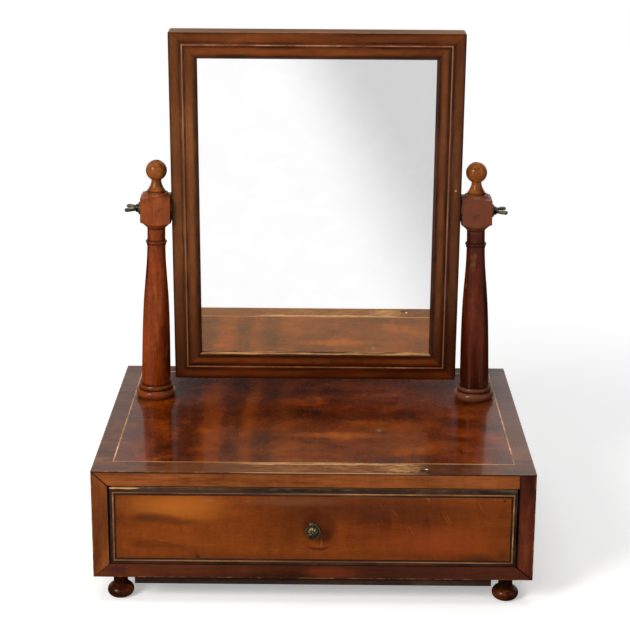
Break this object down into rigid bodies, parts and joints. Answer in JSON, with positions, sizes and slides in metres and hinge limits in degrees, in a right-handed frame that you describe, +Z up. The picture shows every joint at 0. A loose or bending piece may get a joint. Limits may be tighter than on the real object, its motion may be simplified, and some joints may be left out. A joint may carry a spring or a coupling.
{
  "type": "vanity mirror with drawer",
  "caption": "Dressing-table mirror: a tilting framed glass hung between turned columns on a low case with a full-width inlaid drawer and bun feet.",
  "frame": {"origin": "on the floor plane under the middle of the whole footprint, knob included", "axes": "+X to the viewer's right across the case, +Y from the drawer front to the back, +Z up"},
  "size_m": [0.4, 0.2926, 0.502],
  "materials": {
    "top_figured": "French-polished figured mahogany veneer, high gloss",
    "border_wood": "polished mahogany banding, satin gloss",
    "lipping_wood": "polished mahogany lipping, satin",
    "side_wood": "polished mahogany veneer, satin",
    "frame_wood": "polished mahogany, satin",
    "column_wood": "turned and polished mahogany, gloss",
    "finial_wood": "turned fruitwood, polished, lighter",
    "drawer_figured": "figured mahogany veneer, satin",
    "string_wood": "boxwood stringing, polished",
    "ebonised_wood": "ebonised banding, satin",
    "pine": "planed softwood, aged, matt",
    "oak": "planed oak, aged, matt",
    "foot_wood": "turned mahogany, dark polish",
    "mirror_glass": "silvered glass",
    "brass": "dark patinated brass",
    "iron": "blackened iron nails and pins"
  },
  "bodies": {
    "case": {"top_board": "pine", "top_crossband": "border_wood", "top_string": "string_wood", "top_field_veneer": "top_figured", "case_side_left": "pine", "case_side_right": "pine", "side_veneer_left": "side_wood", "side_veneer_right": "side_wood", "case_back": "pine", "case_back_nails": "iron", "case_bottom": "pine", "under_board": "pine", "front_rail_top": "lipping_wood", "front_rail_bottom": "lipping_wood", "front_stile_left": "lipping_wood", "front_stile_right": "lipping_wood", "drawer_guide_left": "oak", "drawer_guide_right": "oak", "kicker_left": "oak", "kicker_right": "oak", "drawer_stops": "oak", "glue_blocks": "pine", "foot_front_left": "foot_wood", "foot_front_right": "foot_wood", "foot_back_left": "foot_wood", "foot_back_right": "foot_wood", "column_left": "column_wood", "column_right": "column_wood", "finial_left": "finial_wood", "finial_right": "finial_wood", "pivot_washer_left": "brass", "pivot_washer_right": "brass"},
    "wing_screw_left": {"wing_screw_left": "brass"},
    "wing_screw_right": {"wing_screw_right": "brass"},
    "mirror": {"frame_rail_top": "frame_wood", "frame_rail_bottom": "frame_wood", "frame_stile_left": "frame_wood", "frame_stile_right": "frame_wood", "frame_string": "string_wood", "mirror_glass": "mirror_glass", "mirror_back_board": "pine", "back_board_pins": "iron", "pivot_plate_left": "brass", "pivot_plate_right": "brass", "pivot_plate_screws": "brass"},
    "drawer": {"drawer_front": "oak", "drawer_panel_veneer": "drawer_figured", "drawer_string": "string_wood", "drawer_edge_band": "ebonised_wood", "drawer_inner_line": "ebonised_wood", "drawer_side_left": "oak", "drawer_side_right": "oak", "drawer_back": "oak", "drawer_bottom": "pine", "drawer_bottom_nails": "iron", "drawer_knob": "brass", "knob_nut": "brass"}
  },
  "joints": [
    {"name": "mirror_tilt", "type": "hinge", "parent": "case", "child": "mirror", "pos_m": [0, 0.06135, 0.3241], "axis": [1, 0, 0], "continuous": true},
    {"name": "drawer_slide", "type": "slide", "parent": "case", "child": "drawer", "axis": [0, -1, 0], "range_m": [0, 0.19]},
    {"name": "wing_screw_left_turn", "type": "hinge", "parent": "case", "child": "wing_screw_left", "pos_m": [0, 0.06135, 0.3241], "axis": [1, 0, 0], "continuous": true},
    {"name": "wing_screw_right_turn", "type": "hinge", "parent": "case", "child": "wing_screw_right", "pos_m": [0, 0.06135, 0.3241], "axis": [1, 0, 0], "continuous": true}
  ]
}
